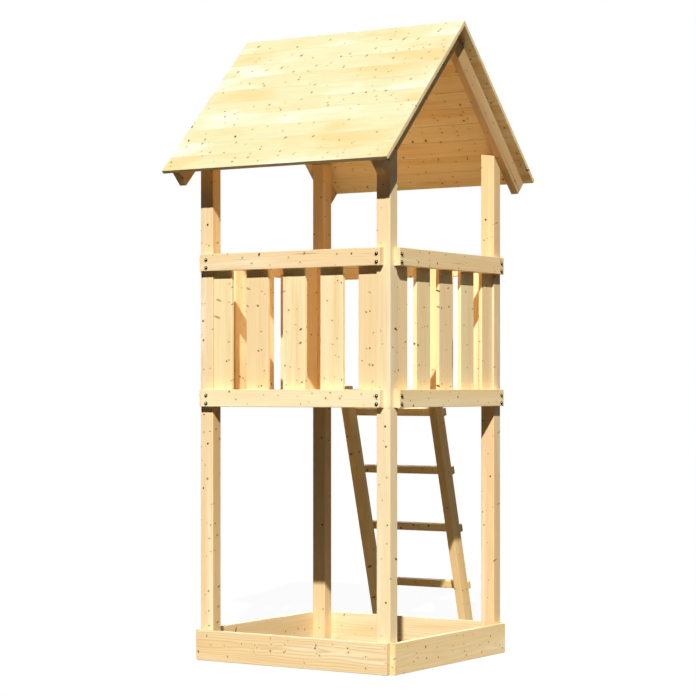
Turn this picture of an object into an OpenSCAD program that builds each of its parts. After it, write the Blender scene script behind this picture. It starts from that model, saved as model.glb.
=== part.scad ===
// Garden play tower: open sandpit frame, slatted platform, board roof on
// four rafters and a leaning ladder at the back entrance. Millimetres, Z up.
// The front faces -Y; the middle of the whole outline stands on the origin.

/* [Tower] */
// Width over the posts
tower_w = 1025; // [900:5:1200]
// Depth over the posts
tower_d = 995; // [860:5:1160]
// Post width, seen from the front
post_w = 70; // [50:1:90]
// Post depth, seen from the side
post_d = 61; // [40:1:80]
// Radius of the eased post edges
post_ease = 4; // [1:0.5:8]

/* [Sandpit] */
// Sandpit board height
pit_h = 139; // [90:1:180]
// Sandpit board thickness
pit_t = 26; // [18:1:35]

/* [Rails] */
// Rail height
rail_h = 79; // [60:1:100]
// Rail thickness where it laps a post
rail_lap_t = 31; // [18:1:35]
// Extra thickness of the rail between the posts
rail_step = 9; // [4:1:14]
// Underside of the lower rails
low_rail_z = 1165.5; // [1000:0.5:1400]
// Underside of the upper rails
top_rail_z = 1786.5; // [1600:0.5:2000]
// Rail end set back from the corner beside the nearest post
rail_back_near = 33; // [10:1:45]
// Rail end set back from the corner at the other posts
rail_back_far = 22; // [5:1:45]
// Play between the thick part of a rail and the posts
rail_play = 0.5; // [0.2:0.1:2]

/* [Slats] */
// Slats on a full side, end slats included
slat_count = 5; // [3:1:7]
// Slat width
slat_w = 120; // [90:1:125]
// Width of the first and last slat of a side
end_slat_w = 100; // [70:1:125]
// Slat thickness
slat_t = 18; // [12:1:24]
// Slat end set back from the edges of the rails
slat_back = 14; // [5:1:30]
// Slats left out for the entrance
entry_slats = 3; // [2:1:3]

/* [Platform] */
// Floor board thickness
floor_t = 20; // [16:1:28]
// Floor boards across the platform
floor_count = 8; // [6:1:10]
// Gap between floor boards
floor_gap = 5; // [2:0.5:10]
// Floor surface below the top of the lower rails
floor_drop = 16; // [0:1:18]
// Floor joist width
joist_w = 38; // [25:1:60]
// Play round the floor boards
floor_play = 1; // [0.3:0.1:3]

/* [Ladder] */
// Width over the stiles
ladder_w = 545; // [400:5:560]
// Gap between the left back post and the ladder
ladder_gap = 21; // [5:1:45]
// Lean of the ladder from upright, degrees
ladder_lean = 15.6; // [10:0.1:25]
// Stile thickness
stile_t = 40; // [25:1:50]
// Stile depth
stile_d = 72; // [50:1:90]
// Stile tops above the lower rails
stile_rise = 16; // [5:1:60]
// Number of rungs
rung_count = 4; // [3:1:6]
// Rung height
rung_h = 38; // [30:1:60]
// Rung thickness
rung_t = 24; // [18:1:30]
// Height of the lowest rung
rung_low_z = 266; // [150:1:400]
// Height from rung to rung
rung_pitch = 288; // [200:1:320]

/* [Roof] */
// Pitch of both slopes, degrees
roof_pitch = 45; // [35:0.1:55]
// Height of the roof edge at the eaves
eave_z = 2241; // [2000:1:2500]
// Eaves out past the posts
eave_over = 175.5; // [60:0.5:260]
// Roof boards out past the rafters at the gables
gable_over = 52; // [10:1:120]
// Roof board thickness
roof_t = 16; // [12:1:24]
// Width one roof board covers
roof_cover = 95; // [70:1:150]
// Tongue depth of the roof boards
tongue_d = 6; // [4:0.5:10]
// Tongue thickness
tongue_t = 5; // [3:0.5:7]
// Bevel of the joints on the underside
joint_bevel = 1.5; // [0.5:0.1:3]
// Play in the tongued joints
joint_play = 0.3; // [0.2:0.1:1]

/* [Rafters] */
// Rafter thickness
rafter_t = 38; // [30:1:60]
// Rafter depth
rafter_d = 78; // [50:1:100]
// Rafter tail end set back from the roof edge
rafter_back = 2; // [0:1:40]
// Post tops below the roof boards
post_drop = 37; // [1:1:60]

/* [Hidden] */
$fn = 24;

half_w = tower_w / 2;
half_d = tower_d / 2;
bay_w = tower_w - 2 * post_w;
bay_d = tower_d - 2 * post_d;
face_in = rail_step + slat_t;
low_top = low_rail_z + rail_h;
rung_lift = rung_h / 2;

// Roof slope, measured on the outside of the boards
eave_y = half_d + eave_over;
ridge_z = eave_z + eave_y * tan(roof_pitch);
roof_l = tower_w + 2 * (rafter_t + gable_over);
slope_l = eave_y / cos(roof_pitch);
// Where the front and back slopes meet on the underside
under_z = ridge_z - roof_t / cos(roof_pitch);
bevel_l = roof_t * tan(roof_pitch);
board_count = max(2, round(slope_l / roof_cover));
first_cover = slope_l - (board_count - 1) * roof_cover;

// Post tops stay under the lowest point of the boards above them
post_top = under_z - half_d * tan(roof_pitch) - post_drop;

// Ladder: the stile fronts lean on the top back edge of the lower back rail
lean_y = half_d + rail_lap_t;
stile_top = low_top + stile_rise;
stile_run = stile_d / cos(ladder_lean);
function stile_y(z) = lean_y + (low_top - z) * tan(ladder_lean);
ladder_x = -bay_w / 2 + ladder_gap;
foot_y = stile_y(0) + stile_run;

// The origin is under the middle of the outline, front eaves to ladder feet
shift_y = (eave_y - foot_y) / 2;

wood_post = [0.86, 0.72, 0.50];
wood_rail = [0.88, 0.74, 0.51];
wood_slat = [0.89, 0.75, 0.53];
wood_roof = [0.91, 0.80, 0.58];
wood_floor = [0.80, 0.65, 0.43];

// Upright bar with eased long edges, its corner at the origin
module eased_bar(w, d, h, r) {
    linear_extrude(height = h)
        union() {
            translate([r, 0]) square([w - 2 * r, d]);
            translate([0, r]) square([w, d - 2 * r]);
            for (x = [r, w - r])
                for (y = [r, d - r])
                    translate([x, y]) circle(r = r);
        }
}

// One post; sx and sy choose the corner of the tower
module post(sx, sy) {
    color(wood_post)
        translate([sx > 0 ? half_w - post_w : -half_w,
                   sy > 0 ? half_d - post_d : -half_d, 0])
            eased_bar(post_w, post_d, post_top, post_ease);
}

// Sandpit board across the front or back, outside the posts
module pit_board_x(sy) {
    color(wood_rail)
        translate([-half_w, sy > 0 ? half_d : -half_d - pit_t, 0])
            cube([tower_w, pit_t, pit_h]);
}

// Sandpit board along the left or right side
module pit_board_y(sx) {
    color(wood_rail)
        translate([sx > 0 ? half_w : -half_w - pit_t, -half_d, 0])
            cube([pit_t, tower_d, pit_h]);
}

// Rail across the front or back: thin ends lap the posts, the thicker
// middle locks in between them and carries the slats
module rail_x(sy, z) {
    y0 = sy > 0 ? half_d : -half_d - rail_lap_t;
    y1 = sy > 0 ? half_d - rail_step : -half_d - rail_lap_t;
    color(wood_rail)
        union() {
            translate([-half_w + rail_back_far, y0, z])
                cube([tower_w - rail_back_far - rail_back_near,
                      rail_lap_t, rail_h]);
            translate([-bay_w / 2 + rail_play, y1, z])
                cube([bay_w - 2 * rail_play, rail_lap_t + rail_step,
                      rail_h]);
        }
}

// Rail along the left or right side
module rail_y(sx, z) {
    x0 = sx > 0 ? half_w : -half_w - rail_lap_t;
    x1 = sx > 0 ? half_w - rail_step : -half_w - rail_lap_t;
    color(wood_rail)
        union() {
            translate([x0, -half_d + rail_back_near, z])
                cube([rail_lap_t, tower_d - rail_back_far - rail_back_near,
                      rail_h]);
            translate([x1, -bay_d / 2 + rail_play, z])
                cube([rail_lap_t + rail_step, bay_d - 2 * rail_play,
                      rail_h]);
        }
}

// Left edge and width of slat i in a bay of width w
function slat_gap(w) = (w - 2 * end_slat_w - (slat_count - 2) * slat_w)
                       / (slat_count - 1);
function is_end(i) = i == 0 || i == slat_count - 1;
function slat_at(i, w) = i == 0 ? -w / 2
    : -w / 2 + end_slat_w + i * slat_gap(w) + (i - 1) * slat_w;
function slat_wide(i) = is_end(i) ? end_slat_w : slat_w;
slat_z = low_rail_z + slat_back;
slat_l = top_rail_z + rail_h - low_rail_z - 2 * slat_back;

// Slats across the front or back, fixed to the inside of the rails
module slats_x(sy, first) {
    y0 = sy > 0 ? half_d - face_in : -half_d + rail_step;
    color(wood_slat)
        for (i = [first : slat_count - 1])
            translate([slat_at(i, bay_w), y0, slat_z])
                cube([slat_wide(i), slat_t, slat_l]);
}

// Slats along the left or right side
module slats_y(sx) {
    x0 = sx > 0 ? half_w - face_in : -half_w + rail_step;
    color(wood_slat)
        for (i = [0 : slat_count - 1])
            translate([x0, slat_at(i, bay_d), slat_z])
                cube([slat_t, slat_wide(i), slat_l]);
}

floor_w = tower_w - 2 * face_in - 2 * floor_play;
floor_d = tower_d - 2 * face_in - 2 * floor_play;
floor_board_d = (floor_d - (floor_count - 1) * floor_gap) / floor_count;
floor_z = low_top - floor_drop - floor_t;

// Floor boards from side to side, the end ones notched round the posts
module floor_boards() {
    color(wood_floor)
        difference() {
            for (i = [0 : floor_count - 1])
                translate([-floor_w / 2,
                           -floor_d / 2 + i * (floor_board_d + floor_gap),
                           floor_z])
                    cube([floor_w, floor_board_d, floor_t]);
            for (sx = [-1, 1])
                for (sy = [-1, 1])
                    translate([sx * half_w, sy * half_d,
                               floor_z + floor_t / 2])
                        cube([2 * (post_w + floor_play),
                              2 * (post_d + floor_play), 2 * floor_t],
                             center = true);
        }
}

// Joists from the front rail to the back rail, in the gaps between slats
module floor_joists() {
    color(wood_floor)
        for (i = [0 : slat_count - 2])
            translate([slat_at(i, bay_w) + slat_wide(i)
                       + (slat_gap(bay_w) - joist_w) / 2,
                       -half_d + rail_step, low_rail_z])
                cube([joist_w, tower_d - 2 * rail_step,
                      floor_z - low_rail_z]);
}

// Ladder stile, cut level at the ground and at the top
module stile(x) {
    color(wood_post)
        translate([x, 0, 0])
            rotate([90, 0, 90])
                linear_extrude(height = stile_t)
                    polygon([[stile_y(0), 0],
                             [stile_y(0) + stile_run, 0],
                             [stile_y(stile_top) + stile_run, stile_top],
                             [stile_y(stile_top), stile_top]]);
}

// Rungs on the back of the stiles
module ladder_rungs() {
    color(wood_rail)
        for (i = [0 : rung_count - 1]) {
            z = rung_low_z + i * rung_pitch;
            translate([ladder_x, stile_y(z) + stile_run, z])
                rotate([ladder_lean, 0, 0])
                    translate([0, 0, -rung_lift])
                        cube([ladder_w, rung_t, rung_h]);
        }
}

// Section of one roof board: u runs down the slope, v out of it. The
// groove is in the upper edge, the tongue on the lower one.
module board_section(u0, u1, groove, tongue) {
    p = joint_play;
    mid = -roof_t / 2;
    b = joint_bevel;
    c = tongue_t / 2;
    polygon(concat(
        groove
            ? [[u0 + p, 0], [u0 + p, mid + c + p],
               [u0 + tongue_d + 2 * p, mid + c + p],
               [u0 + tongue_d + 2 * p, mid - c - p],
               [u0 + p, mid - c - p], [u0 + p, b - roof_t],
               [u0 + p + b, -roof_t]]
            : [[u0, 0], [u0 + bevel_l, -roof_t]],
        tongue
            ? [[u1 - b, -roof_t], [u1, b - roof_t], [u1, mid - c],
               [u1 + tongue_d, mid - c], [u1 + tongue_d, mid + c],
               [u1, mid + c], [u1, 0]]
            : [[u1, -roof_t], [u1, 0]]));
}

// Boards of one slope; sy -1 is the front. The first board is mitred along
// the ridge and takes up the odd width.
module roof_slope(sy) {
    color(wood_roof)
        for (i = [0 : board_count - 1]) {
            u0 = i == 0 ? 0 : first_cover + (i - 1) * roof_cover;
            u1 = first_cover + i * roof_cover;
            translate([sy < 0 ? -roof_l / 2 : roof_l / 2, 0, ridge_z])
                rotate([0, 0, sy < 0 ? 0 : 180])
                    rotate([90, 0, 90])
                        rotate([0, 0, 180 + roof_pitch])
                            mirror([0, 1, 0])
                                linear_extrude(height = roof_l)
                                    board_section(u0, u1, i > 0,
                                                  i < board_count - 1);
        }
}

// Rafters lie on the outer faces of the posts, close under the boards
rafter_z = rafter_d / cos(roof_pitch);
tail_u = slope_l - rafter_back;

// Point on the back slope (side 1) or the front slope (side -1): u down the
// slope from the ridge, v in below the outside of the boards
function on_slope(side, u, v) = [
    side * (u * cos(roof_pitch) - v * sin(roof_pitch)),
    ridge_z - u * sin(roof_pitch) - v * cos(roof_pitch)];

// Where the underside of the front rafter meets the back slope's boards
lap_point = [rafter_z / 2 / tan(roof_pitch), under_z - rafter_z / 2];

// Rafter cut from a plate at the left (sx -1) or right (sx 1) posts
module rafter_plate(sx, points) {
    color(wood_post)
        translate([sx > 0 ? half_w : -half_w - rafter_t, 0, 0])
            rotate([90, 0, 90])
                linear_extrude(height = rafter_t)
                    polygon(points);
}

// Front rafter: runs up through the ridge to the back slope's boards
module rafter_front(sx) {
    rafter_plate(sx, [[0, under_z],
                      on_slope(-1, tail_u, roof_t),
                      on_slope(-1, tail_u, roof_t + rafter_d),
                      lap_point]);
}

// Back rafter: butts against the underside of the front rafter
module rafter_back(sx) {
    rafter_plate(sx, [lap_point,
                      [0, under_z - rafter_z],
                      on_slope(1, tail_u, roof_t + rafter_d),
                      on_slope(1, tail_u, roof_t)]);
}

module post_front_left() { post(-1, -1); }
module post_front_right() { post(1, -1); }
module post_back_left() { post(-1, 1); }
module post_back_right() { post(1, 1); }

translate([0, shift_y, 0]) {
    post_front_left();
    post_front_right();
    post_back_left();
    post_back_right();
    pit_board_x(-1);  // sandpit_board_front
    pit_board_x(1);  // sandpit_board_back
    pit_board_y(-1);  // sandpit_board_left
    pit_board_y(1);  // sandpit_board_right
    rail_x(-1, top_rail_z);  // upper_rail_front
    rail_x(1, top_rail_z);  // upper_rail_back
    rail_y(-1, top_rail_z);  // upper_rail_left
    rail_y(1, top_rail_z);  // upper_rail_right
    rail_x(-1, low_rail_z);  // lower_rail_front
    rail_x(1, low_rail_z);  // lower_rail_back
    rail_y(-1, low_rail_z);  // lower_rail_left
    rail_y(1, low_rail_z);  // lower_rail_right
    slats_x(-1, 0);  // slats_front
    slats_x(1, entry_slats);  // slats_back
    slats_y(-1);  // slats_left
    slats_y(1);  // slats_right
    floor_boards();
    floor_joists();
    stile(ladder_x);  // ladder_stile_left
    stile(ladder_x + ladder_w - stile_t);  // ladder_stile_right
    ladder_rungs();
    roof_slope(-1);  // roof_boards_front
    roof_slope(1);  // roof_boards_back
    rafter_front(-1);  // rafter_front_left
    rafter_front(1);  // rafter_front_right
    rafter_back(-1);  // rafter_back_left
    rafter_back(1);  // rafter_back_right
}
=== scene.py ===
# %% [markdown]
# # A wooden play tower with a boarded gable roof
# The tower is a kit of planed spruce: four posts stand in a low sandpit frame, rails and slats
# close the platform, a ladder leans on the back, and two boarded slopes make the roof.
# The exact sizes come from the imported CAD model. This lesson rebuilds its boards with eased
# edges, gives every board its own grain, and adds the bolts that hold the rails.

import math
import random

import bpy
from mathutils import Matrix, Vector


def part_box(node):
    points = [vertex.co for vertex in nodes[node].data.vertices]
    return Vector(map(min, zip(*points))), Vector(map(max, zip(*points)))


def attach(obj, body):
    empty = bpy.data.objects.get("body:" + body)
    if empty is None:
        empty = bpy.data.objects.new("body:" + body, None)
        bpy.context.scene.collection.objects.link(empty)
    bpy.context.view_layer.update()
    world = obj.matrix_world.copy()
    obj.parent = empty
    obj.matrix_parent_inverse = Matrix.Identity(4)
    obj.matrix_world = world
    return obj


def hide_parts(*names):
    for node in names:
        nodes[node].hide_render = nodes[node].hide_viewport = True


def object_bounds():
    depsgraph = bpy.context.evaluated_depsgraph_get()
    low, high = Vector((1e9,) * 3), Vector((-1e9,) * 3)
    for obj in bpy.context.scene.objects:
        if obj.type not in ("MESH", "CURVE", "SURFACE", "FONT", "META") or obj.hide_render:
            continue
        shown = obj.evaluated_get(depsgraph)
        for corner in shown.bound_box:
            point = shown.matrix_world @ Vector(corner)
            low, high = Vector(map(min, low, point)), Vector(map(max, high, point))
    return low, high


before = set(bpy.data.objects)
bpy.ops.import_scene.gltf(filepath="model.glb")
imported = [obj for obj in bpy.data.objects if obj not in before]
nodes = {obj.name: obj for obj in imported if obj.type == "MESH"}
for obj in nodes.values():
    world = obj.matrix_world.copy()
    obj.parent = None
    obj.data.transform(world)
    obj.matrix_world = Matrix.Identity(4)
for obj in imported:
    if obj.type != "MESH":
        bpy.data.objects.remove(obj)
cad_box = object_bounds()
scene = bpy.context.scene
MM = 0.001
print(f"loaded {len(nodes)} CAD nodes, box {[tuple(round(c, 3) for c in p) for p in cad_box]}")

# %% [markdown]
# ## Reading the boards from the frame
# Like pieces share one CAD node, so a node is copied, its corners are merged and it is split into
# its separate solids. The copy is worked on, because a CAD node itself is never changed.

# %% Copy the CAD solids
MERGE = 0.01 * MM
FLAT = math.radians(1)


def only(obj):
    """Leaves object mode with this one object selected and active."""
    if bpy.context.object and bpy.context.object.mode != "OBJECT":
        bpy.ops.object.mode_set(mode="OBJECT")
    bpy.ops.object.select_all(action="DESELECT")
    obj.select_set(True)
    bpy.context.view_layer.objects.active = obj


def box_middle(obj):
    """The middle of an object's box."""
    points = [v.co for v in obj.data.vertices]
    low = [min(p[k] for p in points) for k in range(3)]
    high = [max(p[k] for p in points) for k in range(3)]
    return [(a + b) / 2 for a, b in zip(low, high)]


def solids_of(node):
    """The separate solids of a CAD node, as new objects with whole flat faces."""
    copy = bpy.data.objects.new("solid", nodes[node].data.copy())
    scene.collection.objects.link(copy)
    copy.data.materials.clear()
    only(copy)
    bpy.ops.mesh.customdata_custom_splitnormals_clear()
    bpy.ops.object.mode_set(mode="EDIT")
    bpy.ops.mesh.select_all(action="SELECT")
    bpy.ops.mesh.remove_doubles(threshold=MERGE)
    bpy.ops.mesh.dissolve_limited(angle_limit=FLAT)
    bpy.ops.mesh.separate(type="LOOSE")
    bpy.ops.object.mode_set(mode="OBJECT")
    found = list(bpy.context.selected_objects)
    return sorted(found, key=lambda o: [round(c, 3) for c in box_middle(o)])


def drop(objects):
    """Deletes helper objects."""
    for obj in objects:
        bpy.data.objects.remove(obj)


print("corners nearer than", MERGE / MM, "mm are merged")

# %% [markdown]
# A board is then described by its own directions: along its length, across its width and out
# through its thickness. Reading them from the solid keeps each board where the CAD has it, and no
# size is typed twice. Directions are compared by their cosine: 0 is square to each other, 1 is
# the same way.

# %% Measure a board
ACROSS = 0.1
STRAIGHT = 0.999
OUTERMOST = 0.05 * MM
tower_axis = (Vector(cad_box[0]) + Vector(cad_box[1])) / 2


def measure(solid):
    """A board's directions (length, width, thickness), middle, sizes and sawn end planes."""
    mesh = solid.data
    points = [v.co.copy() for v in mesh.vertices]
    edges = [points[e.vertices[1]] - points[e.vertices[0]] for e in mesh.edges]
    along = max(edges, key=lambda e: e.length).normalized()
    sides = [f for f in mesh.polygons if abs(f.normal.dot(along)) < ACROSS]
    out = max(sides, key=lambda f: f.area).normal.copy()
    middle = Vector(box_middle(solid))
    if out.dot(middle - tower_axis) < 0:
        out.negate()
    across = out.cross(along)
    axes = (along, across, out)
    spans = [[min(p.dot(a) for p in points), max(p.dot(a) for p in points)] for a in axes]
    centre = sum((a * (s[0] + s[1]) / 2 for a, s in zip(axes, spans)), Vector())
    sizes = [s[1] - s[0] for s in spans]
    cuts = []
    for face in mesh.polygons:
        slant = abs(face.normal.dot(along))
        behind = all((p - face.center).dot(face.normal) < OUTERMOST for p in points)
        if ACROSS < slant < STRAIGHT and behind:
            cuts.append((face.center.copy(), face.normal.copy()))
    return {"axes": axes, "centre": centre, "sizes": sizes, "cuts": cuts, "points": points}


def spots_of(node):
    """Where each board of a node lies."""
    solids = solids_of(node)
    spots = [measure(s) for s in solids]
    drop(solids)
    return spots


print("slats on the front:", [[round(s / MM) for s in p["sizes"]] for p in spots_of("slats_front")])

# %% [markdown]
# ## One planed board
# A planing machine rounds the long edges of a board a few millimetres, and a saw leaves its ends
# almost sharp. So the board starts as a cube at its size and place, is sawn along the end planes
# that the CAD has, gets its long edges rounded with the bevel operator, and its ends only a hair
# of a bevel from a modifier. The edges to round are picked by their direction.

# %% Pick edges and faces by a test


def select_edges(obj, test):
    """Selects in edit mode the edges whose two end points pass the test."""
    bpy.ops.mesh.select_all(action="DESELECT")
    bpy.ops.object.mode_set(mode="OBJECT")
    points = [v.co for v in obj.data.vertices]
    for edge in obj.data.edges:
        edge.select = test(points[edge.vertices[0]], points[edge.vertices[1]])
    bpy.ops.object.mode_set(mode="EDIT")
    bpy.ops.mesh.select_mode(type="EDGE")


def select_faces(obj, test):
    """Selects in edit mode the faces that pass the test."""
    bpy.ops.mesh.select_mode(type="FACE")
    bpy.ops.mesh.select_all(action="DESELECT")
    bpy.ops.object.mode_set(mode="OBJECT")
    for face in obj.data.polygons:
        face.select = test(face)
    bpy.ops.object.mode_set(mode="EDIT")


print("ready to pick edges and faces")

# %% A planed board from a cube
LONG_EASE = 2.5 * MM
LONG_EASE_STEPS = 3
END_EASE = 0.8 * MM
END_EASE_STEPS = 2
END_CORNER = math.radians(50)


def cube_at(spot, sizes=None, shift=0.0):
    """Adds a cube with a board's size and place; shift moves it along the thickness."""
    along, across, out = spot["axes"]
    turn = Matrix((along, across, out)).transposed().to_euler()
    bpy.ops.object.select_all(action="DESELECT")
    bpy.ops.mesh.primitive_cube_add(
        size=1, location=spot["centre"] + out * shift, rotation=turn, scale=sizes or spot["sizes"]
    )
    bpy.ops.object.transform_apply(location=True, rotation=True, scale=True)
    return bpy.context.object


def saw(board, spot):
    """Cuts the board's ends along the planes of its CAD solid."""
    only(board)
    bpy.ops.object.mode_set(mode="EDIT")
    for point, normal in spot["cuts"]:
        bpy.ops.mesh.select_all(action="SELECT")
        bpy.ops.mesh.bisect(plane_co=point, plane_no=normal, use_fill=True, clear_outer=True)
    bpy.ops.object.mode_set(mode="OBJECT")


def ease(board, spot):
    """Rounds the long edges, and breaks the sawn ends with a fine bevel."""
    along = spot["axes"][0]
    only(board)
    bpy.ops.object.mode_set(mode="EDIT")
    select_edges(board, lambda a, b: abs((b - a).normalized().dot(along)) > STRAIGHT)
    bpy.ops.mesh.bevel(offset=LONG_EASE, segments=LONG_EASE_STEPS, affect="EDGES")
    bpy.ops.object.mode_set(mode="OBJECT")
    rim = board.modifiers.new("ends", "BEVEL")
    rim.width = END_EASE
    rim.segments = END_EASE_STEPS
    rim.limit_method = "ANGLE"
    rim.angle_limit = END_CORNER
    bpy.ops.object.modifier_apply(modifier=rim.name)
    bpy.ops.object.shade_flat()


def plank(spot):
    """A whole board: cube, saw cuts and eased edges."""
    board = cube_at(spot)
    saw(board, spot)
    ease(board, spot)
    return board


print("long edges are rounded by", LONG_EASE / MM, "mm, ends by", END_EASE / MM, "mm")

# %% [markdown]
# ## Grain that belongs to each board
# Every board was sawn from a different log, so no two may share a pattern. Three values are kept
# on the mesh: grain holds the place of a point in its log (along the stem, and sideways from the
# pith), board holds how dark, how figured, how knotty and how pink this board is, and end_grain
# marks the sawn ends. The materials read them, so the pattern is cut through by every face as in
# real wood, with arches on wide faces, lines on narrow ones and rings on the ends.

# %% Store the grain on a board
LOG_STEP = 7.3
END_FACING = 0.6


def sort_of_board(key):
    """Seeded choices for one board: pith place, tone, figure, knots and blush."""
    dice = random.Random(key)
    return {
        "shift": LOG_STEP * dice.randrange(1, 12) + dice.random(),
        "side": dice.uniform(-0.45, 0.45),
        "deep": dice.uniform(18, 60) * MM,
        "flip": dice.choice((-1, 1)),
        "tone": dice.random(),
        "figure": dice.uniform(0.1, 0.6),
        "knots": dice.uniform(0.25, 0.6),
        "blush": dice.uniform(0.0, 0.5),
    }


def store_grain(board, spot, key, **wish):
    """Writes the attributes that the wood materials read."""
    sort = {**sort_of_board(key), **wish}
    along, across, out = spot["axes"]
    mesh = board.data
    half = spot["sizes"][2] / 2
    grain = []
    for vertex in mesh.vertices:
        place = vertex.co - spot["centre"]
        grain += [
            place.dot(along) + sort["shift"],
            place.dot(across) - sort["side"] * spot["sizes"][1],
            place.dot(out) * sort["flip"] + half + sort["deep"],
        ]
    mesh.attributes.new("grain", "FLOAT_VECTOR", "POINT").data.foreach_set("vector", grain)
    looks = [sort[k] for k in ("tone", "figure", "knots", "blush")] * len(mesh.vertices)
    mesh.attributes.new("board", "FLOAT_COLOR", "POINT").data.foreach_set("color", looks)
    ends = [1.0 if abs(f.normal.dot(along)) > END_FACING else 0.0 for f in mesh.polygons]
    mesh.attributes.new("end_grain", "FLOAT", "FACE").data.foreach_set("value", ends)


def settle(boards, node):
    """Joins the boards of a node into one piece that stands for it."""
    only(boards[0])
    for board in boards:
        board.select_set(True)
    if len(boards) > 1:
        bpy.ops.object.join()
    piece = bpy.context.object
    piece.name = f"{node}_planed"
    piece.data.name = piece.name
    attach(piece, "root")
    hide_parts(node)
    return piece


print("a board's choices:", sort_of_board("slats_front-0"))

# %% [markdown]
# ## Posts, slats, sandpit boards, ladder and rafters
# All of these are plain planed boards that differ only in size, lean and end cuts, so one loop
# makes them. The key of a board is its node and its number, which fixes its grain for good.
# Where a board's looks matter they are wished for by that key: the front sandpit board has strong
# arches, and some boards are darker or pinker than their neighbours. On the back left post the
# darker tone is partly painted shade.

# %% Make the plain boards
PLAIN_NODES = {
    "post_timber": ["post_front_left", "post_front_right", "post_back_left", "post_back_right"],
    "sandpit_timber": [f"sandpit_board_{s}" for s in ("front", "back", "left", "right")],
    "slat_timber": [f"slats_{s}" for s in ("front", "back", "left", "right")],
    "ladder_timber": ["ladder_stile_left", "ladder_stile_right", "ladder_rungs"],
    "rafter_timber": [f"rafter_{a}_{b}" for a in ("front", "back") for b in ("left", "right")],
}
WISHES = {
    "sandpit_board_front-0": {"figure": 1.0, "deep": 30 * MM, "side": 0.1, "tone": 0.4},
    "slats_front-0": {"tone": 0.1, "blush": 0.1},
    "slats_front-1": {"tone": 0.6, "blush": 0.7},
    "slats_front-2": {"tone": 0.1, "blush": 0.0},
    "slats_front-3": {"tone": 0.1, "blush": 0.1},
    "slats_front-4": {"tone": 0.4, "blush": 0.8},
    "slats_right-1": {"tone": 0.4, "blush": 0.0},
    "slats_right-2": {"tone": 0.1, "blush": 0.7},
    "slats_right-3": {"tone": 0.3, "blush": 0.0},
    "slats_right-4": {"tone": 0.8, "blush": 0.2},
    "post_back_right-0": {"tone": 2.0, "blush": 1.0},
    # Partly painted shade: the back left post is darker for the shade it stands in.
    "post_back_left-0": {"tone": 2.0, "blush": 0.8},
    "sandpit_board_back-0": {"tone": 0.0, "blush": 0.0},
    "upper_rail_front": {"tone": 0.3, "blush": 0.9},
    "lower_rail_front": {"tone": 0.0, "blush": 0.0},
}
pieces = {}
for slot_name, group in PLAIN_NODES.items():
    for node in group:
        made = []
        for number, spot in enumerate(spots_of(node)):
            key = f"{node}-{number}"
            board = plank(spot)
            store_grain(board, spot, key, **WISHES.get(key, {}))
            made.append(board)
        pieces[node] = settle(made, node)
print("plain pieces:", len(pieces))

# %% [markdown]
# ## Rails with thinner ends
# A rail is thicker between the posts than where it laps over them. The outer layer is a cube as
# long as the rail. It is scored with two bisect cuts where the thick part starts and stops, and
# the inner face between them is extruded inwards.

# %% Make the rails
FACING = 0.9
LEVEL_STEP = 0.1 * MM


def rail(spot):
    """A rail with a thick middle, from the levels of its CAD solid."""
    along, across, out = spot["axes"]
    levels = sorted({round(p.dot(out), 4) for p in spot["points"]})
    inner, lap, outer = levels[0], levels[1], levels[-1]
    shoulders = [p.dot(along) for p in spot["points"] if p.dot(out) < lap - LEVEL_STEP]
    first, last = min(shoulders), max(shoulders)
    thin = list(spot["sizes"][:2]) + [outer - lap]
    board = cube_at(spot, thin, shift=(lap - inner) / 2)
    bpy.ops.object.mode_set(mode="EDIT")
    for stop in (first, last):
        bpy.ops.mesh.select_all(action="SELECT")
        bpy.ops.mesh.bisect(plane_co=along * stop, plane_no=along)
    select_faces(
        board,
        lambda f: f.normal.dot(out) < -FACING and first < f.center.dot(along) < last,
    )
    bpy.ops.mesh.extrude_region_move(
        TRANSFORM_OT_translate={"value": -out * (lap - inner)}
    )
    bpy.ops.object.mode_set(mode="OBJECT")
    ease(board, spot)
    return board


for level in ("upper", "lower"):
    for side in ("front", "back", "left", "right"):
        node = f"{level}_rail_{side}"
        spot = spots_of(node)[0]
        board = rail(spot)
        store_grain(board, spot, node, **WISHES.get(node, {}))
        pieces[node] = settle([board], node)
print("rails made:", len([n for n in pieces if "rail" in n]))

# %% [markdown]
# ## Roof and floor boards
# The CAD already has the roof boards' real section, with tongue, groove and bevelled joints, and
# the floor boards' notches round the posts. So their solids are copied as they are, and each
# board only gets its own grain before they are joined again.

# %% Copy the roof and floor boards
for node, slot_name in (
    ("roof_boards_front", "roof_timber"),
    ("roof_boards_back", "roof_timber"),
    ("floor_boards", "floor_timber"),
    ("floor_joists", "floor_timber"),
):
    made = solids_of(node)
    for number, board in enumerate(made):
        store_grain(board, measure(board), f"{node}-{number}")
    pieces[node] = settle(made, node)
    bpy.ops.object.shade_flat()
print("all wooden pieces:", len(pieces))

# %% [markdown]
# ## Bolt heads
# Two bolts hold each end of a rail, one above the other. Each has a washer and a low domed head
# of dark steel. One is made with a cylinder, whose top is inset and raised in steps to a dome.
# The faces above the washer are marked with the attribute dome, where the steel material puts its
# painted highlight.

# %% Make one bolt head
HEAD_SIDES = 24
WASHER_RADIUS = 8.5 * MM
WASHER_HEIGHT = 1.6 * MM
HEAD_RADIUS = 6.8 * MM
HEAD_HEIGHT = 6.0 * MM
RIM_SHARE = 0.3
DOME_SHARE = 0.7
DOME_STEPS = 4
DOME_TOP = 0.15
JUST_ABOVE = 1.01
SMOOTH_BELOW = math.radians(40)


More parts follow.
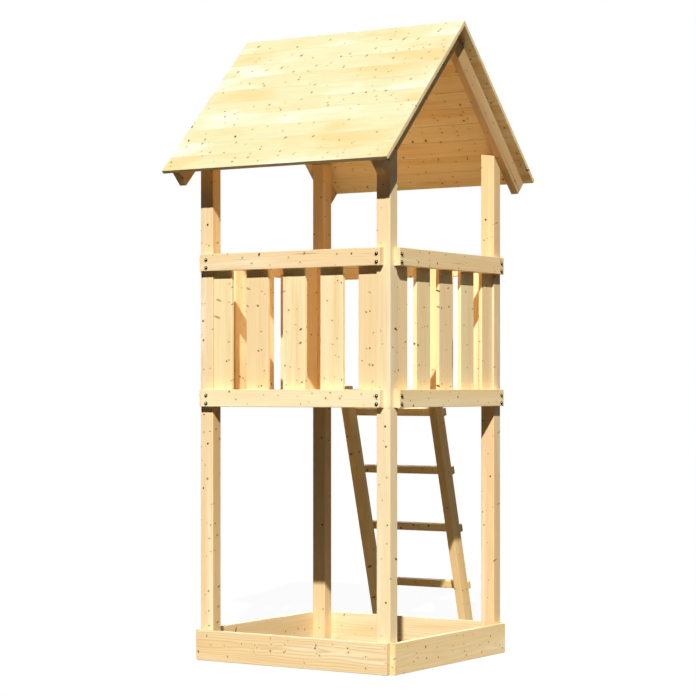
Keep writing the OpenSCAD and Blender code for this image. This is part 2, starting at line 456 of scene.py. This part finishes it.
def bolt_head():
    """A washer and a domed head, standing on the plane z = 0."""
    bpy.ops.object.select_all(action="DESELECT")
    bpy.ops.mesh.primitive_cylinder_add(
        vertices=HEAD_SIDES, radius=WASHER_RADIUS, depth=WASHER_HEIGHT,
        location=(0, 0, WASHER_HEIGHT / 2),
    )
    bpy.ops.object.transform_apply(location=True, rotation=True, scale=True)
    head = bpy.context.object
    bpy.ops.object.mode_set(mode="EDIT")
    select_faces(head, lambda f: f.normal.z > FACING)
    bpy.ops.mesh.inset(thickness=WASHER_RADIUS - HEAD_RADIUS)
    bpy.ops.mesh.extrude_region_move(
        TRANSFORM_OT_translate={"value": (0, 0, HEAD_HEIGHT * RIM_SHARE)}
    )
    for step in range(DOME_STEPS):
        low, high = (math.radians(90 * s / DOME_STEPS) for s in (step, step + 1))
        rise = HEAD_HEIGHT * DOME_SHARE * (math.sin(high) - math.sin(low))
        bpy.ops.mesh.extrude_region_move(TRANSFORM_OT_translate={"value": (0, 0, rise)})
        shrink = max(math.cos(high) / math.cos(low), DOME_TOP)
        bpy.ops.transform.resize(value=(shrink, shrink, 1))
    bpy.ops.object.mode_set(mode="OBJECT")
    bpy.ops.object.shade_smooth_by_angle(angle=SMOOTH_BELOW)
    above = WASHER_HEIGHT * JUST_ABOVE
    domed = [1.0 if f.center.z > above else 0.0 for f in head.data.polygons]
    head.data.attributes.new("dome", "FLOAT", "FACE").data.foreach_set("value", domed)
    return head


bolt_master = bolt_head()
print("faces in a bolt head:", len(bolt_master.data.polygons))

# %% [markdown]
# The head is copied to four places on the outer face of every rail. The distances from the rail's
# ends and from its bottom edge follow the photograph, and they differ from end to end.

# %% Put the bolts on the rails
BOLT_HEIGHTS = (15 * MM, 51 * MM)
BOLT_STOPS_LONG = {-1: 31.5 * MM, 1: 18.5 * MM}
BOLT_STOPS_SIDE = {-1: 13 * MM, 1: 24 * MM}


def bolts_for(node):
    """Four heads on the outer face of a rail."""
    spot = spots_of(node)[0]
    along, across, out = spot["axes"]
    half = spot["sizes"][0] / 2
    face = spot["centre"] + out * spot["sizes"][2] / 2
    bottom = face.z - abs(across.z) * spot["sizes"][1] / 2
    stops = BOLT_STOPS_LONG if abs(along.x) > FACING else BOLT_STOPS_SIDE
    direction = Vector((abs(along.x), abs(along.y), 0))
    turn = out.to_track_quat("Z", "Y").to_matrix().to_4x4()
    heads = []
    for sign, stop in stops.items():
        for up in BOLT_HEIGHTS:
            place = face + direction * sign * (half - stop)
            place.z = bottom + up
            head = bolt_master.copy()
            head.data = bolt_master.data.copy()
            scene.collection.objects.link(head)
            head.data.transform(Matrix.Translation(place) @ turn)
            heads.append(head)
    return heads


bolt_pieces = []
for node in [n for n in pieces if "rail" in n]:
    heads = bolts_for(node)
    only(heads[0])
    for head in heads:
        head.select_set(True)
    bpy.ops.object.join()
    bolts = bpy.context.object
    bolts.name = f"{node}_bolts"
    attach(bolts, "root")
    bolt_pieces.append(bolts)
drop([bolt_master])
print("bolt heads:", 4 * len(bolt_pieces))

# %% [markdown]
# ## Planed spruce
# Fresh spruce is cream coloured, with a thin tan line of latewood in every ring, long soft bands
# and many small brown knots. Planing leaves it dull, with a faint relief along the fibres. All of
# the pattern comes from where a point lay in the log, so it runs through the board. Knots and
# rings are worked out first, and then the colours are laid over each other.

# %% One helper for nodes, one for colours


def linear(text):
    """An sRGB hex colour as linear values with alpha."""
    parts = [int(text[i:i + 2], 16) / 255 for i in (1, 3, 5)]
    lin = [c / 12.92 if c <= 0.04045 else ((c + 0.055) / 1.055) ** 2.4 for c in parts]
    return (*lin, 1.0)


def add(tree, kind, inputs=None, **settings):
    """Adds a node, sets its properties, then links or fills its inputs."""
    node = tree.nodes.new(kind)
    for key, value in settings.items():
        setattr(node, key, value)
    for socket, value in (inputs or {}).items():
        if isinstance(value, bpy.types.NodeSocket):
            tree.links.new(value, node.inputs[socket])
        else:
            node.inputs[socket].default_value = value
    return node


def new_material(name):
    """A new material and its empty node tree."""
    material = bpy.data.materials.new(name)
    material.use_nodes = True
    material.node_tree.nodes.clear()
    return material, material.node_tree


print("cream is", [round(c, 3) for c in linear("#F6DEB0")])

# %% Read a board's attributes


def read_board(tree):
    """A point's place in its log, and what sort of board it is on, as sockets by name."""
    place = add(tree, "ShaderNodeAttribute", attribute_name="grain")
    look = add(tree, "ShaderNodeAttribute", attribute_name="board")
    end = add(tree, "ShaderNodeAttribute", attribute_name="end_grain")
    sort = add(tree, "ShaderNodeSeparateColor", {0: look.outputs["Color"]})
    axis = add(tree, "ShaderNodeSeparateXYZ", {0: place.outputs["Vector"]})
    side = add(tree, "ShaderNodeCombineXYZ", {1: axis.outputs["Y"], 2: axis.outputs["Z"]})
    radius = add(tree, "ShaderNodeVectorMath", {0: side.outputs[0]}, operation="LENGTH")
    angle = add(
        tree, "ShaderNodeMath", {0: axis.outputs["Y"], 1: axis.outputs["Z"]}, operation="ARCTAN2"
    )
    return {
        "place": place.outputs["Vector"],
        "along": axis.outputs["X"],
        "radius": radius.outputs["Value"],
        "angle": angle.outputs[0],
        "tone": sort.outputs["Red"],
        "figure": sort.outputs["Green"],
        "knots": sort.outputs["Blue"],
        "blush": look.outputs["Alpha"],
        "end": end.outputs["Fac"],
    }


print("attributes read: grain, board, end_grain")

# %% [markdown]
# ## Knots
# Knots are branches, so they point away from the pith and climb a little: a Voronoi pattern over
# length and angle gives one spot for each. The offset from its middle is turned back to metres on
# the cut face, which keeps a knot round. Small knots are commoner than large ones, and a board
# keeps only its own share of them. Around a knot the wood is darker and the rings bend.

# %% Work out the knots
KNOT_STEP = 85 * MM
KNOT_ANGLE = 0.42
KNOT_RISE = 0.35
KNOT_LEAST = 2.1 * MM
KNOT_MOST = 5.4 * MM
KNOT_SMALLNESS = 2.0
KNOT_BLUR = 0.9 * MM
KNOT_HALO = 14 * MM
KNOT_FAINTEST = 0.5


def add_knots(tree, log):
    """How dark a knot is at a point, and how near to one the point lies."""
    rise = add(
        tree, "ShaderNodeMath", {0: log["radius"], 1: -KNOT_RISE, 2: log["along"]},
        operation="MULTIPLY_ADD",
    )
    step_along = add(
        tree, "ShaderNodeMath", {0: rise.outputs[0], 1: KNOT_STEP}, operation="DIVIDE"
    )
    step_round = add(
        tree, "ShaderNodeMath", {0: log["angle"], 1: KNOT_ANGLE}, operation="DIVIDE"
    )
    cell = add(tree, "ShaderNodeCombineXYZ", {0: step_along.outputs[0], 1: step_round.outputs[0]})
    branch = add(
        tree, "ShaderNodeTexVoronoi", {"Vector": cell.outputs[0], "Scale": 1.0},
        voronoi_dimensions="2D",
    )
    away = add(
        tree, "ShaderNodeVectorMath", {0: cell.outputs[0], 1: branch.outputs["Position"]},
        operation="SUBTRACT",
    )
    off = add(tree, "ShaderNodeSeparateXYZ", {0: away.outputs[0]})
    off_along = add(tree, "ShaderNodeMath", {0: off.outputs[0], 1: KNOT_STEP}, operation="MULTIPLY")
    arc = add(tree, "ShaderNodeMath", {0: log["radius"], 1: KNOT_ANGLE}, operation="MULTIPLY")
    off_round = add(
        tree, "ShaderNodeMath", {0: off.outputs[1], 1: arc.outputs[0]}, operation="MULTIPLY"
    )
    off_both = add(tree, "ShaderNodeCombineXYZ", {0: off_along.outputs[0], 1: off_round.outputs[0]})
    distance = add(tree, "ShaderNodeVectorMath", {0: off_both.outputs[0]}, operation="LENGTH")

    # The branch's own random colour decides whether it is there, its size and its darkness
    dice = add(tree, "ShaderNodeSeparateColor", {0: branch.outputs["Color"]})
    exists = add(
        tree, "ShaderNodeMath", {0: dice.outputs[0], 1: log["knots"]}, operation="LESS_THAN"
    )
    shape = add(
        tree, "ShaderNodeMath", {0: dice.outputs[1], 1: KNOT_SMALLNESS}, operation="POWER"
    )
    size = add(
        tree, "ShaderNodeMapRange",
        {"Value": shape.outputs[0], "To Min": KNOT_LEAST, "To Max": KNOT_MOST},
    )
    knot_radius = add(
        tree, "ShaderNodeMath", {0: size.outputs[0], 1: exists.outputs[0]}, operation="MULTIPLY"
    )
    gap = add(
        tree, "ShaderNodeMath", {0: distance.outputs["Value"], 1: knot_radius.outputs[0]},
        operation="SUBTRACT",
    )
    inside = add(
        tree, "ShaderNodeMapRange",
        {"Value": gap.outputs[0], "From Min": KNOT_BLUR, "From Max": -KNOT_BLUR},
        interpolation_type="SMOOTHSTEP",
    )
    darkness = add(
        tree, "ShaderNodeMapRange",
        {"Value": dice.outputs[2], "To Min": KNOT_FAINTEST, "To Max": 1.0},
    )
    shade = add(
        tree, "ShaderNodeMath", {0: darkness.outputs[0], 1: exists.outputs[0]},
        operation="MULTIPLY",
    )
    knot = add(
        tree, "ShaderNodeMath", {0: inside.outputs[0], 1: shade.outputs[0]}, operation="MULTIPLY"
    )
    near = add(
        tree, "ShaderNodeMapRange",
        {"Value": gap.outputs[0], "From Min": KNOT_HALO, "From Max": 0.0},
        interpolation_type="SMOOTHSTEP",
    )
    halo = add(
        tree, "ShaderNodeMath", {0: near.outputs[0], 1: exists.outputs[0]}, operation="MULTIPLY"
    )
    return knot.outputs[0], halo.outputs[0]


print("knots are", 2 * KNOT_LEAST / MM, "to", 2 * KNOT_MOST / MM, "mm wide")

# %% [markdown]
# ## Growth rings
# The rings are made as in a tree: the distance from the pith, bent a little by slow noise and
# pushed aside by each knot, is divided by the ring width. Real rings are 3 to 4 mm wide, which is
# less than a pixel here, so they are drawn wider. Across a ring the pale early wood darkens to
# the latewood line and soon fades again.

# %% Work out the rings
RING_WIDTH = 9 * MM
RING_SWAY = 42 * MM
RING_PUSH = 9 * MM
SWAY_SCALE = (1.7, 9, 9)
EARLY_WOOD = (0.45, 0.12)
LATE_WOOD = 0.82


def add_rings(tree, log, halo):
    """How far into the latewood of its ring a point lies, from 0 to 1."""
    slow = add(tree, "ShaderNodeMapping", {"Vector": log["place"], "Scale": SWAY_SCALE})
    sway = add(
        tree, "ShaderNodeTexNoise", {"Vector": slow.outputs[0], "Scale": 1.0, "Detail": 2.0}
    )
    sway_size = add(
        tree, "ShaderNodeMath", {0: sway.outputs[0], 1: RING_SWAY}, operation="MULTIPLY"
    )
    push = add(tree, "ShaderNodeMath", {0: halo, 1: RING_PUSH}, operation="MULTIPLY")
    bent = add(
        tree, "ShaderNodeMath", {0: log["radius"], 1: sway_size.outputs[0]}, operation="ADD"
    )
    pushed = add(tree, "ShaderNodeMath", {0: bent.outputs[0], 1: push.outputs[0]}, operation="ADD")
    turns = add(tree, "ShaderNodeMath", {0: pushed.outputs[0], 1: RING_WIDTH}, operation="DIVIDE")
    season = add(tree, "ShaderNodeMath", {0: turns.outputs[0]}, operation="FRACT")
    ring = add(tree, "ShaderNodeValToRGB", {0: season.outputs[0]})
    ramp = ring.color_ramp
    ramp.elements[0].position = 0.0
    ramp.elements[0].color = (0, 0, 0, 1)
    ramp.elements[1].position = LATE_WOOD
    ramp.elements[1].color = (1, 1, 1, 1)
    for position, level in (EARLY_WOOD, (1.0, 0.0)):
        ramp.elements.new(position).color = (level, level, level, 1)
    return ring.outputs[0]


print("rings are drawn", RING_WIDTH / MM, "mm wide")

# %% [markdown]
# ## The layers of colour
# Each layer mixes one more colour over the last. Cream comes first, then the board's own tan and
# blush, then pale patches and tan bands from one cloudy noise, then the rings. The fibres are a
# fine streaky noise that lightens and darkens this a little. Real fibres are far too fine to
# show, so they are drawn about 4 mm wide and 250 mm long. Over them come the darker wood round
# the knots, the knots themselves with the drying cracks, and the tan of the sawn ends.

# %% The spruce material
PATCH_SCALE = (0.9, 15, 15)
PALE_SPAN = {"From Min": 0.48, "From Max": 0.3}
BAND_SPAN = {"From Min": 0.5, "From Max": 0.72}
FIBRE_SCALE = (4, 260, 260)
FIBRE_SPAN = {"From Min": 0.3, "From Max": 0.7}
FIBRE_SHADE = {"To Min": 0.93, "To Max": 1.03}
CRACK_SCALE = (3.0, 150, 150)
CRACK_SPAN = {"From Min": 0.75, "From Max": 0.79}
KNOT_BROWN = "#4E2C0A"
TONE_SHARE, BLUSH_SHARE, PALE_SHARE, BAND_SHARE = 0.3, 0.4, 0.9, 0.85
RING_SHARE, HALO_SHARE, CRACK_SHARE, END_SHARE = 0.55, 0.25, 0.75, 0.25
DULLNESS = {"To Min": 0.5, "To Max": 0.7}
RELIEF_STRENGTH = 0.35
RELIEF_DEPTH = 0.4 * MM


def spruce(name, cream, tan, band, pale, blush="#F2C492", rings=1.0, bands=1.0,
           patch=PATCH_SCALE, checks=0.0):
    """Planed spruce; rings, bands and checks say how strongly each of them shows."""
    material, tree = new_material(name)
    log = read_board(tree)
    knot, halo = add_knots(tree, log)
    ring = add_rings(tree, log, halo)

    # Where each layer shows, and how strongly
    tone = add(tree, "ShaderNodeMath", {0: log["tone"], 1: TONE_SHARE}, operation="MULTIPLY")
    pink = add(tree, "ShaderNodeMath", {0: log["blush"], 1: BLUSH_SHARE}, operation="MULTIPLY")
    wide = add(tree, "ShaderNodeMapping", {"Vector": log["place"], "Scale": patch})
    cloud = add(
        tree, "ShaderNodeTexNoise", {"Vector": wide.outputs[0], "Scale": 1.0, "Detail": 3.0}
    )
    patches = add(
        tree, "ShaderNodeMapRange",
        {"Value": cloud.outputs[0], **PALE_SPAN, "To Max": PALE_SHARE},
        interpolation_type="SMOOTHSTEP",
    )
    stripes = add(
        tree, "ShaderNodeMapRange",
        {"Value": cloud.outputs[0], **BAND_SPAN, "To Max": BAND_SHARE * bands},
        interpolation_type="SMOOTHSTEP",
    )
    figure = add(
        tree, "ShaderNodeMath", {0: log["figure"], 1: RING_SHARE * rings}, operation="MULTIPLY"
    )
    ringed = add(tree, "ShaderNodeMath", {0: ring, 1: figure.outputs[0]}, operation="MULTIPLY")
    fine = add(tree, "ShaderNodeMapping", {"Vector": log["place"], "Scale": FIBRE_SCALE})
    fibre = add(
        tree, "ShaderNodeTexNoise", {"Vector": fine.outputs[0], "Scale": 1.0, "Detail": 2.0}
    )
    streaks = add(
        tree, "ShaderNodeMapRange", {"Value": fibre.outputs[0], **FIBRE_SPAN, **FIBRE_SHADE}
    )
    around = add(tree, "ShaderNodeMath", {0: halo, 1: HALO_SHARE}, operation="MULTIPLY")
    thin = add(tree, "ShaderNodeMapping", {"Vector": log["place"], "Scale": CRACK_SCALE})
    split = add(
        tree, "ShaderNodeTexNoise", {"Vector": thin.outputs[0], "Scale": 1.0, "Detail": 0.0}
    )
    cracks = add(
        tree, "ShaderNodeMapRange",
        {"Value": split.outputs[0], **CRACK_SPAN, "To Max": CRACK_SHARE * checks},
    )
    marks = add(tree, "ShaderNodeMath", {0: knot, 1: cracks.outputs[0]}, operation="MAXIMUM")
    sawn = add(tree, "ShaderNodeMath", {0: log["end"], 1: END_SHARE}, operation="MULTIPLY")

    # The colours, one over the other
    colour = linear(cream)
    for amount, over, blend in (
        (tone.outputs[0], linear(tan), "MIX"),
        (pink.outputs[0], linear(blush), "MIX"),
        (patches.outputs[0], linear(pale), "MIX"),
        (stripes.outputs[0], linear(band), "MIX"),
        (ringed.outputs[0], linear(tan), "MIX"),
        (1.0, streaks.outputs[0], "MULTIPLY"),
        (around.outputs[0], linear(band), "MIX"),
        (marks.outputs[0], linear(KNOT_BROWN), "MIX"),
        (sawn.outputs[0], linear(tan), "MIX"),
    ):
        layer = add(
            tree, "ShaderNodeMix", {"Factor": amount, "A": colour, "B": over},
            data_type="RGBA", blend_type=blend,
        )
        colour = layer.outputs["Result"]

    # Gloss and relief
    rough = add(tree, "ShaderNodeMapRange", {"Value": fibre.outputs[0], **FIBRE_SPAN, **DULLNESS})
    height = add(
        tree, "ShaderNodeMath", {0: fibre.outputs[0], 1: ringed.outputs[0]}, operation="ADD"
    )
    relief = add(
        tree, "ShaderNodeBump",
        {"Height": height.outputs[0], "Strength": RELIEF_STRENGTH, "Distance": RELIEF_DEPTH},
    )
    wood = add(
        tree, "ShaderNodeBsdfPrincipled",
        {
            "Base Color": colour,
            "Roughness": rough.outputs[0],
            "Normal": relief.outputs[0],
            "IOR": 1.5,
            "Specular IOR Level": 0.2,
        },
    )
    add(tree, "ShaderNodeOutputMaterial", {"Surface": wood.outputs[0]})
    return material


print("fibres are drawn", round(1 / FIBRE_SCALE[1] / MM, 1), "mm wide")

# %% [markdown]
# ## A finish for every kind of board
# The boards are of one wood, but not of one colour: the ladder is yellower, the rafters are
# darker, and one post has a face of orange heartwood. The rails and slats of the sides and the
# right sandpit board get lighter, warmer copies of their finishes: painted light for the side
# faces, which the lamps light less than the front ones. The front slope lies full in the sun, so
# its colours are written darker, which keeps its grain. Both slopes have broad patches and faint
# rings. The upper rails and the darkest rafter have dried out, so they show checks; that rafter's
# darker colour is painted shade.

# %% Mix the finishes
FINISHES = {
    "post": spruce("planed_spruce_post", "#F5E0B4", "#DFBB86", "#EECE9A", "#F8E9C8"),
    "heartwood": spruce("planed_spruce_heartwood", "#E8C68C", "#CFA068", "#DFB274", "#ECD09C"),
    "sandpit": spruce("planed_spruce_sandpit", "#EFD8AA", "#D3A468", "#E6C48C", "#F3E2BC"),
    # The right sandpit board and the side rails and slats below get lighter, warmer copies: painted
    # light.
    "sandpit_board_right": spruce(
        "planed_spruce_warm_sandpit", "#FEE6B2", "#E0AF6E", "#F5D192", "#FFF0C6"
    ),
    "upper_rail": spruce(
        "planed_spruce_split", "#F5E2B4", "#E2BF8C", "#EED09A", "#F8EAC8", checks=0.6
    ),
    "upper_rail_side": spruce(
        "planed_spruce_warm_split", "#FFE4B0", "#ECC48A", "#F9D49C", "#FFEAC2", checks=0.6
    ),
    "lower_rail": spruce("planed_spruce_rail", "#F7E6BA", "#E6C592", "#F0D4A0", "#F9ECCC"),
    "lower_rail_side": spruce("planed_spruce_warm", "#FFE2AC", "#ECC286", "#F9D298", "#FFEABE"),
    "slats": spruce("planed_spruce_slat", "#F5E2B2", "#E4C08A", "#EFD09A", "#F8EAC6"),
    "slats_side": spruce("planed_spruce_warm_slat", "#FFE6B4", "#EEC890", "#FADAA2", "#FFEDC6"),
    "ladder": spruce("planed_spruce_ladder", "#F9DCA0", "#DCB074", "#EAC280", "#FAE4B4"),
    # The back right rafter: painted shade makes it darker; its checks are real.
    "rafter_back_right": spruce(
        "planed_spruce_rafter_dark", "#CFAF7C", "#B48A58", "#BE9662", "#D8BC8E", checks=0.6
    ),
    "rafter": spruce("planed_spruce_rafter", "#E6C68C", "#C99B62", "#D6AA70", "#ECD2A0"),
    "roof_boards_back": spruce(
        "planed_spruce_roof_back", "#F2DFB0", "#E4C590", "#E8C68A", "#F6EACC",
        rings=0.35, bands=0.7, patch=(1.9, 4, 4),
    ),
    "roof": spruce(
        "planed_spruce_roof", "#D8D6B0", "#D2C892", "#DABA76", "#E4E8D8", blush="#D6C68E",
        rings=0.3, bands=0.75, patch=(1.9, 5, 5),
    ),
    # The roof undersides: partly painted light, warmer for the glow bounced up under the roof.
    "soffit_painted_bounce": spruce("planed_spruce_soffit_painted_bounce", "#E8D3A2", "#D4AE70", "#D8AE6C", "#EAD8AE"),
    "floor": spruce("planed_spruce_floor", "#EED3A0", "#D6A96E", "#E0B67E", "#F2DEB4"),
}
print("finishes:", list(FINISHES))

# %% [markdown]
# Some finishes belong to one node, the others to every node with their word in its name. A roof
# board gets three: one for its upper face, one for its underside, and one for the sawn end at the
# gable. The underside's finish is darker and warmer, partly as painted light: the warm glow
# bounced up under the roof.

# %% Give every board its finish
UNDERSIDE = -0.3


def finish_for(node):
    """The finish of a node: its own, the lighter copy with painted light for the side boards, or
    that of its kind.
    """
    if node in FINISHES:
        return FINISHES[node]
    word = next(w for w in FINISHES if w in node)
    if node.endswith(("left", "right")):
        return FINISHES.get(word + "_side", FINISHES[word])
    return FINISHES[word]


for node, piece in pieces.items():
    piece.data.materials.clear()
    piece.data.materials.append(finish_for(node))
for node in ("roof_boards_front", "roof_boards_back"):
    roof = pieces[node].data
    roof.materials.append(FINISHES["soffit_painted_bounce"])
    roof.materials.append(FINISHES["slats"])
    for face in roof.polygons:
        if abs(face.normal.x) > FACING:
            face.material_index = 2
        else:
            face.material_index = 1 if face.normal.z < UNDERSIDE else 0
post = pieces["post_front_left"].data
post.materials.append(FINISHES["heartwood"])
for face in post.polygons:
    face.material_index = 1 if face.normal.x > FACING else 0
print("boards with a finish:", len(pieces))

# %% [markdown]
# ## Dark steel
# The bolt heads are blackened steel: a metal, so its colour is its reflection, dark and fairly
# smooth, with cloudy spots about a millimetre wide where the coating is thinner. Each head also
# gets a painted highlight: a small pale spot painted where the dome faces about halfway between
# the key light and the camera. It is painted on and not a reflection, so it stays where it is in
# other views.

# %% The steel material
SPOT_SCALE = 900.0
# Painted highlight: dome faces turned this way are painted pale.
GLINT_DIRECTION = (0.487, -0.795, 0.356)
GLINT_SPAN = {"From Min": 0.9, "From Max": 0.98}
STEEL_GLOSS = {"To Min": 0.24, "To Max": 0.36}

steel, steel_tree = new_material("blackened_steel")
steel_place = add(steel_tree, "ShaderNodeTexCoord")
steel_cloud = add(
    steel_tree, "ShaderNodeTexNoise",
    {"Vector": steel_place.outputs["Object"], "Scale": SPOT_SCALE, "Detail": 2.0},
)
steel_tint = add(
    steel_tree, "ShaderNodeMix",
    {"Factor": steel_cloud.outputs[0], "A": linear("#17120C"), "B": linear("#2E271D")},
    data_type="RGBA",
)
steel_dome = add(steel_tree, "ShaderNodeAttribute", attribute_name="dome")
steel_facing = add(steel_tree, "ShaderNodeNewGeometry")
steel_toward = add(
    steel_tree, "ShaderNodeVectorMath",
    {0: steel_facing.outputs["Normal"], 1: GLINT_DIRECTION}, operation="DOT_PRODUCT",
)
steel_glint = add(
    steel_tree, "ShaderNodeMapRange", {"Value": steel_toward.outputs["Value"], **GLINT_SPAN},
    interpolation_type="SMOOTHSTEP",
)
# The painted highlight: a pale spot mixed over the dark steel, with no metal there.
steel_painted_glint = add(
    steel_tree, "ShaderNodeMath", {0: steel_dome.outputs["Fac"], 1: steel_glint.outputs[0]},
    operation="MULTIPLY",
)
steel_hue = add(
    steel_tree, "ShaderNodeMix",
    {"Factor": steel_painted_glint.outputs[0], "A": steel_tint.outputs["Result"], "B": linear("#DCCFB6")},
    data_type="RGBA",
)
steel_metal_off_glint = add(
    steel_tree, "ShaderNodeMath", {0: 1.0, 1: steel_painted_glint.outputs[0]}, operation="SUBTRACT"
)
steel_gloss = add(
    steel_tree, "ShaderNodeMapRange", {"Value": steel_cloud.outputs[0], **STEEL_GLOSS}
)
steel_skin = add(
    steel_tree, "ShaderNodeBsdfPrincipled",
    {
        "Base Color": steel_hue.outputs["Result"],
        "Metallic": steel_metal_off_glint.outputs[0],
        "Roughness": steel_gloss.outputs[0],
    },
)
add(steel_tree, "ShaderNodeOutputMaterial", {"Surface": steel_skin.outputs[0]})
for bolts in bolt_pieces:
    bolts.data.materials.clear()
    bolts.data.materials.append(steel)
print("bolts painted:", len(bolt_pieces))

# %% [markdown]
# ## Floor and world
# The floor and the world are white to the camera and in glossy reflections, and the floor keeps a
# faint shadow. To the light that bounces off it, the floor is a dull paper: a mid tone near the
# tower and a dark one farther out, which sets how much light comes up from below.

# %% The floor
FLOOR_SIZE = 60.0
FLOOR_DROP = 0.5 * MM
FLOOR_WHITENESS = 0.95
FLOOR_SPAN = {"From Min": 1.2, "From Max": 2.4}

bpy.ops.object.select_all(action="DESELECT")
bpy.ops.mesh.primitive_plane_add(size=FLOOR_SIZE, location=(0, 0, -FLOOR_DROP))
floor = bpy.context.object
floor.name = "studio_floor"
paper, paper_tree = new_material("pale_floor_paper")
paper_ray = add(paper_tree, "ShaderNodeLightPath")
paper_seen = add(
    paper_tree, "ShaderNodeMath",
    {0: paper_ray.outputs["Is Camera Ray"], 1: paper_ray.outputs["Is Glossy Ray"]},
    operation="MAXIMUM",
)
paper_place = add(paper_tree, "ShaderNodeTexCoord")
paper_far = add(
    paper_tree, "ShaderNodeVectorMath", {0: paper_place.outputs["Object"]}, operation="LENGTH"
)
paper_ring = add(
    paper_tree, "ShaderNodeMapRange", {"Value": paper_far.outputs["Value"], **FLOOR_SPAN},
    interpolation_type="SMOOTHSTEP",
)
paper_tone = add(
    paper_tree, "ShaderNodeMix",
    {"Factor": paper_ring.outputs[0], "A": linear("#6C6A58"), "B": linear("#231F19")},
    data_type="RGBA",
)
paper_dull = add(paper_tree, "ShaderNodeBsdfDiffuse", {"Color": paper_tone.outputs["Result"]})
paper_pale = add(paper_tree, "ShaderNodeBsdfDiffuse", {"Color": linear("#FAFAFA")})
paper_white = add(paper_tree, "ShaderNodeEmission", {"Color": (1, 1, 1, 1), "Strength": 1.0})
paper_shown = add(
    paper_tree, "ShaderNodeMixShader",
    {0: FLOOR_WHITENESS, 1: paper_pale.outputs[0], 2: paper_white.outputs[0]},
)
paper_mix = add(
    paper_tree, "ShaderNodeMixShader",
    {0: paper_seen.outputs[0], 1: paper_dull.outputs[0], 2: paper_shown.outputs[0]},
)
add(paper_tree, "ShaderNodeOutputMaterial", {"Surface": paper_mix.outputs[0]})
floor.data.materials.append(paper)
print("floor is", FLOOR_SIZE, "m wide")

# %% The world
WORLD_FILL = 0.015

world = bpy.data.worlds.new("studio")
scene.world = world
world.use_nodes = True
sky = world.node_tree
sky.nodes.clear()
sky_ray = add(sky, "ShaderNodeLightPath")
sky_seen = add(
    sky, "ShaderNodeMath",
    {0: sky_ray.outputs["Is Camera Ray"], 1: sky_ray.outputs["Is Glossy Ray"]},
    operation="MAXIMUM",
)
sky_through = add(
    sky, "ShaderNodeMath",
    {0: sky_seen.outputs[0], 1: sky_ray.outputs["Is Transmission Ray"]}, operation="MAXIMUM",
)
sky_fill = add(sky, "ShaderNodeBackground", {"Color": (1, 1, 1, 1), "Strength": WORLD_FILL})
sky_white = add(sky, "ShaderNodeBackground", {"Color": (1, 1, 1, 1), "Strength": 1.0})
sky_mix = add(
    sky, "ShaderNodeMixShader",
    {0: sky_through.outputs[0], 1: sky_fill.outputs[0], 2: sky_white.outputs[0]},
)
add(sky, "ShaderNodeOutputWorld", {"Surface": sky_mix.outputs[0]})
print("world fill:", WORLD_FILL)

# %% [markdown]
# ## Lamps
# The key light stands where the photograph's sun did, found from the shadows of the rails. The
# sunlit platform throws warm light up under the roof, and one soft lamp stands for it. The sides
# away from the key would be black, so a broad soft light from behind shows them. A weak soft
# light from the right keeps the right faces lighter than the front ones in the shade.

# %% Add the lamps
KEY_DIRECTION = (0.392, -0.679, 0.622)
KEY_STRENGTH = 4.9
KEY_ANGLE = math.radians(0.9)
BOUNCE_SIZE = 0.8
BOUNCE_ENERGY = 3.0
BOUNCE_SPREAD = math.radians(110)
BOUNCE_LIFT = 20 * MM
BACK_DIRECTION = (-0.62, 0.74, 0.26)
BACK_STRENGTH = 2.9
SIDE_DIRECTION = (0.82, -0.05, 0.57)
SIDE_STRENGTH = 0.22
SOFT_ANGLE = math.radians(40)


def add_lamp(name, kind, energy, colour):
    """Adds a lamp at the origin that shines straight down."""
    data = bpy.data.lights.new(name, kind)
    data.energy = energy
    data.color = colour
    lamp = bpy.data.objects.new(name, data)
    scene.collection.objects.link(lamp)
    return lamp


def add_sun(name, direction, energy, angle, colour=(1.0, 1.0, 1.0)):
    """Adds a sun that stands in a direction; a wide angle makes its shadows soft."""
    lamp = add_lamp(name, "SUN", energy, colour)
    lamp.data.angle = angle
    lamp.rotation_euler = Vector(direction).to_track_quat("Z", "Y").to_euler()


add_sun("key_light", KEY_DIRECTION, KEY_STRENGTH, KEY_ANGLE, (1.0, 0.985, 0.95))
bounce = add_lamp("platform_bounce", "AREA", BOUNCE_ENERGY, (1.0, 0.72, 0.42))
bounce.data.shape = "SQUARE"
bounce.data.size = BOUNCE_SIZE
bounce.data.spread = BOUNCE_SPREAD
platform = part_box("floor_boards")
middle = (platform[0] + platform[1]) / 2
bounce.location = (middle.x, middle.y, platform[1].z + BOUNCE_LIFT)
bounce.rotation_euler = (math.radians(180), 0, 0)
bounce.visible_camera = False
add_sun("back_light", BACK_DIRECTION, BACK_STRENGTH, SOFT_ANGLE)
add_sun("side_light", SIDE_DIRECTION, SIDE_STRENGTH, SOFT_ANGLE, (1.0, 0.93, 0.8))

# %% [markdown]
# ## Camera
# The camera stands about 10 m away, 1.26 m above the ground, and looks level, so that upright
# edges stay upright in the picture. The shift brings the roof into the frame.

# %% Add the camera
CAMERA_PLACE = (5.54568, -8.81825, 1.26112)
CAMERA_TURN = math.radians(32.694)
CAMERA_SENSOR = 36.0
CAMERA_LENS = 114.02
CAMERA_SHIFT = 0.0543
CAMERA_REACH = 200.0

camera_data = bpy.data.cameras.new("camera")
camera_data.sensor_width = CAMERA_SENSOR
camera_data.lens = CAMERA_LENS
camera_data.shift_y = CAMERA_SHIFT
camera_data.clip_end = CAMERA_REACH
camera = bpy.data.objects.new("camera", camera_data)
camera.location = CAMERA_PLACE
camera.rotation_euler = (math.radians(90), 0, CAMERA_TURN)
scene.collection.objects.link(camera)
scene.camera = camera
scene.view_settings.view_transform = "Standard"
print("camera at", CAMERA_PLACE)
